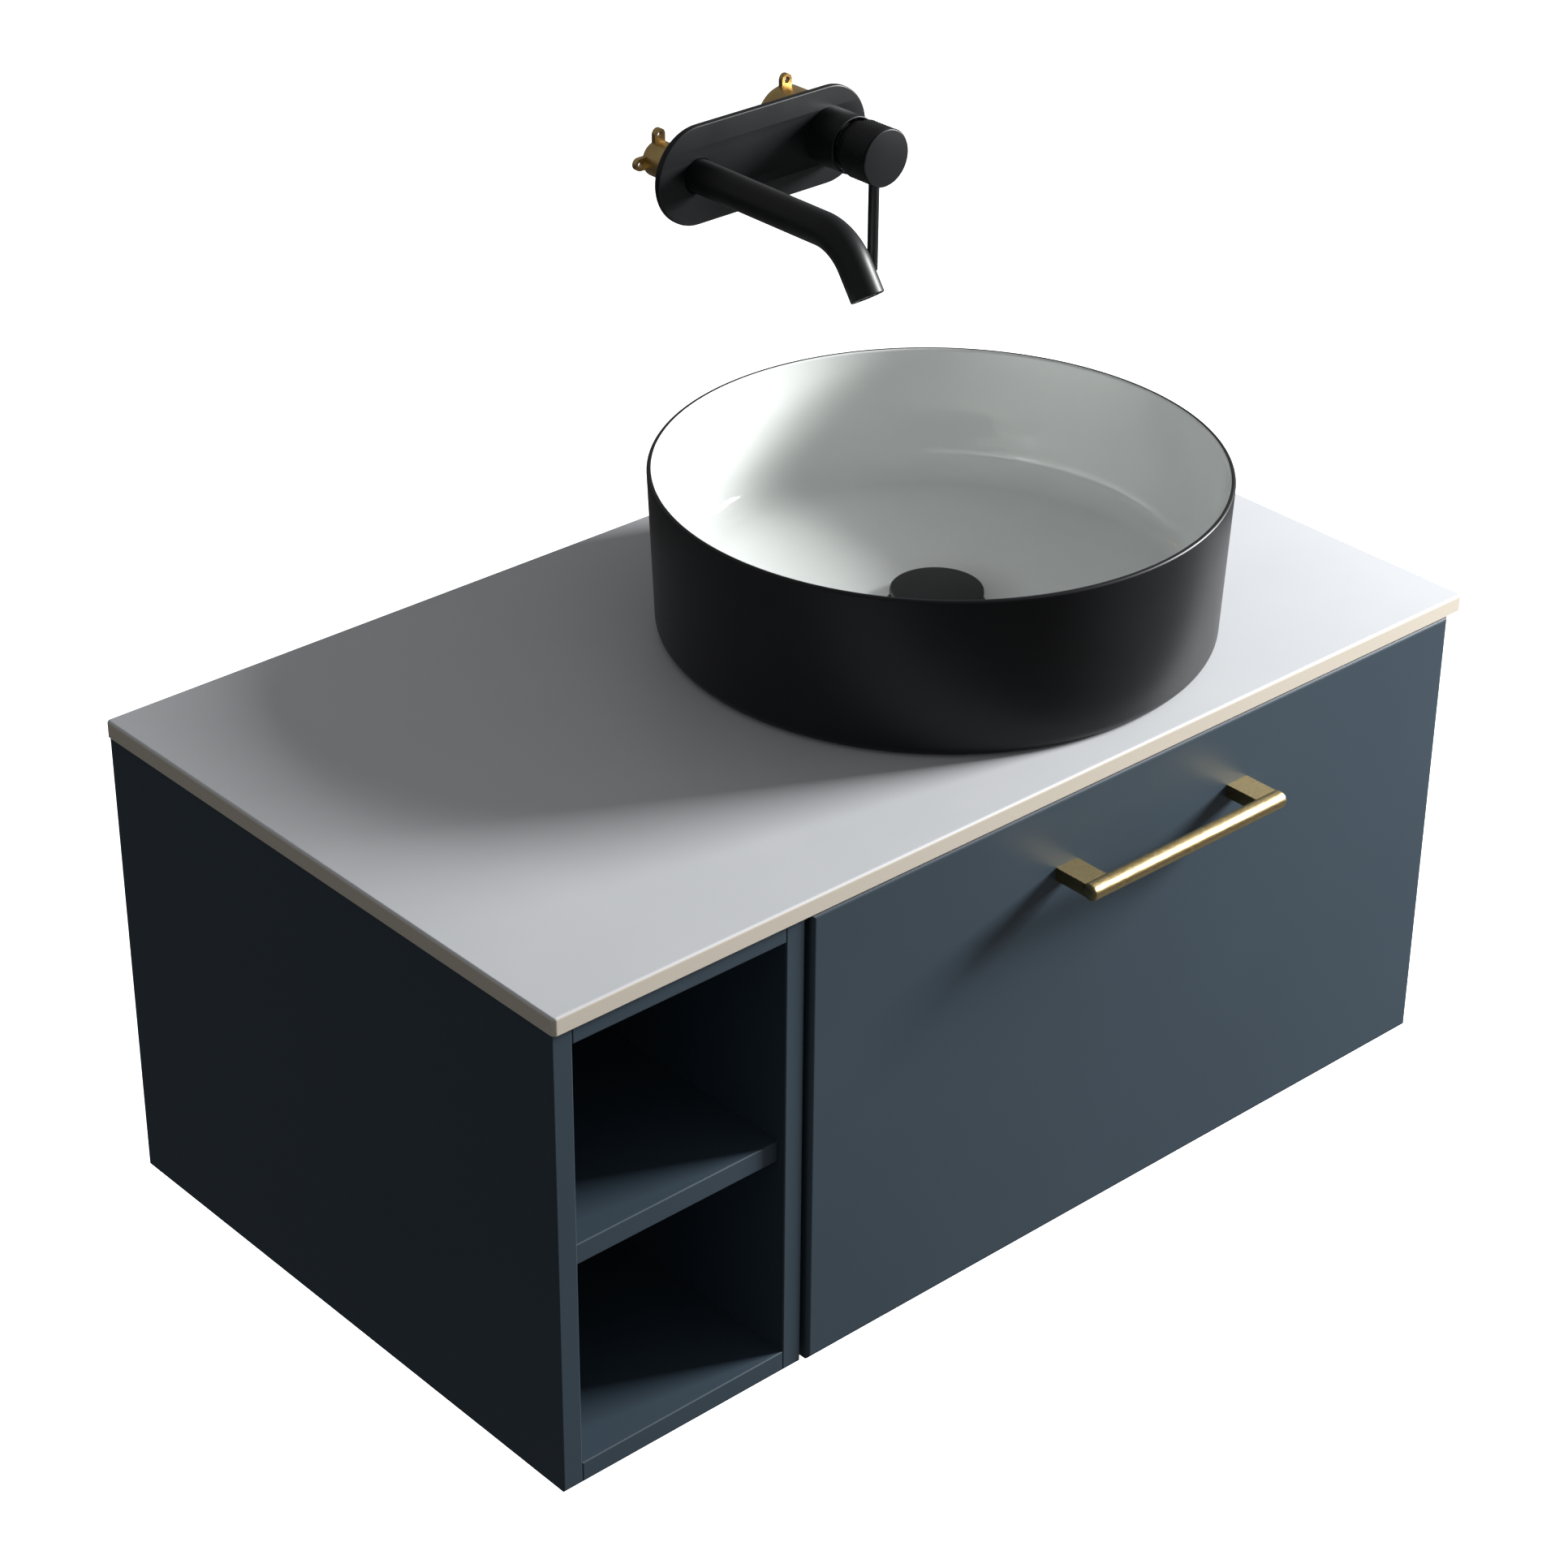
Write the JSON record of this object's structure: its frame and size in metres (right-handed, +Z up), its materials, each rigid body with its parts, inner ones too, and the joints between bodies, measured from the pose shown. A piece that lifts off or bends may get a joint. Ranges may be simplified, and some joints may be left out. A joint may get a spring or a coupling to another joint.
{
  "type": "vessel sink on vanity",
  "caption": "Wall-hung vanity with an open shelf bay, a notched drawer on runners, a round vessel basin with pop-up waste and trap, and a wall-mounted lever mixer.",
  "frame": {"origin": "middle of the rectangle of four wall-plate screw holes, on the wall plane and the cabinet's centre plane", "axes": "+Z up, +Y into the wall (the drawer front faces -Y), +X to the right as seen from the front"},
  "size_m": [0.8, 0.5422, 0.634],
  "materials": {
    "cabinet_finish": "matte lacquered board",
    "drawer_board": "matte grey laminated board",
    "dowel_wood": "plain beech",
    "worktop_stone": "honed, pale grey-white",
    "basin_glaze": "satin black outside, gloss white inside",
    "black_metal": "matte black coating",
    "handle_brass": "satin gold",
    "casting_brass": "rough cast",
    "zinc_steel": "zinc plated",
    "rubber_seal": "plain",
    "trap_plastic": "moulded",
    "cartridge_plastic": "moulded"
  },
  "bodies": {
    "vanity": {"left_side_panel": "cabinet_finish", "divider_panel": "cabinet_finish", "right_side_panel": "cabinet_finish", "compartment_top": "cabinet_finish", "compartment_bottom": "cabinet_finish", "compartment_back": "cabinet_finish", "shelf": "cabinet_finish", "front_top_rail": "cabinet_finish", "drawer_bay_bottom": "cabinet_finish", "hanging_rail_left": "cabinet_finish", "hanging_rail_right": "cabinet_finish", "assembly_dowels": "dowel_wood", "worktop": "worktop_stone", "basin": "basin_glaze", "waste_body": "black_metal", "tap_cover_plate": "black_metal", "tap_spout": "black_metal", "tap_sleeve": "black_metal", "cartridge_nut": "black_metal", "tap_body": "casting_brass", "waste_locknut": "casting_brass", "wall_plates": "zinc_steel", "hook_brackets": "zinc_steel", "cabinet_screws": "zinc_steel", "cabinet_runners": "zinc_steel", "waste_top_seal": "rubber_seal", "waste_bottom_seal": "rubber_seal", "trap_union_nut": "trap_plastic", "trap_inlet_tube": "trap_plastic", "trap_body": "trap_plastic", "trap_cup": "trap_plastic", "trap_outlet_nut": "trap_plastic", "trap_outlet_pipe": "trap_plastic", "trap_wall_flange": "trap_plastic", "tap_cartridge": "cartridge_plastic", "tap_aerator": "cartridge_plastic"},
    "drawer": {"drawer_front": "cabinet_finish", "drawer_side_left": "drawer_board", "drawer_side_right": "drawer_board", "drawer_box_front": "drawer_board", "drawer_back_left": "drawer_board", "drawer_back_right": "drawer_board", "notch_side_left": "drawer_board", "notch_side_right": "drawer_board", "notch_front": "drawer_board", "drawer_bottom": "drawer_board", "drawer_runners": "zinc_steel", "drawer_screws": "zinc_steel", "handle_post_left": "handle_brass", "handle_post_right": "handle_brass", "handle_bar": "handle_brass", "handle_screws": "zinc_steel"},
    "runner_middle": {"middle_runners": "zinc_steel"},
    "plug": {"plug_cap": "black_metal", "plug_spindle": "zinc_steel"},
    "tap_turret": {"cartridge_turret": "cartridge_plastic"},
    "tap_handle": {"tap_knob": "black_metal", "tap_lever": "black_metal", "cartridge_stem": "zinc_steel"}
  },
  "joints": [
    {"name": "drawer_slide", "type": "slide", "parent": "vanity", "child": "drawer", "axis": [0, -1, 0], "range_m": [0, 0.38]},
    {"name": "runner_middle_slide", "type": "slide", "parent": "vanity", "child": "runner_middle", "axis": [0, -1, 0], "range_m": [0, 0.19]},
    {"name": "plug_press", "type": "slide", "parent": "vanity", "child": "plug", "axis": [0, 0, -1], "range_m": [0, 0.008]},
    {"name": "tap_temperature", "type": "hinge", "parent": "vanity", "child": "tap_turret", "pos_m": [0.2235, -0.032, 0.318], "axis": [0, -1, 0], "range_deg": [-45, 45]},
    {"name": "tap_flow", "type": "hinge", "parent": "tap_turret", "child": "tap_handle", "pos_m": [0.2235, -0.032, 0.318], "axis": [-1, 0, 0], "range_deg": [0, 20]}
  ],
  "couplings": [
    {"joint": "runner_middle_slide", "follows": "drawer_slide", "ratio": 0.5}
  ]
}
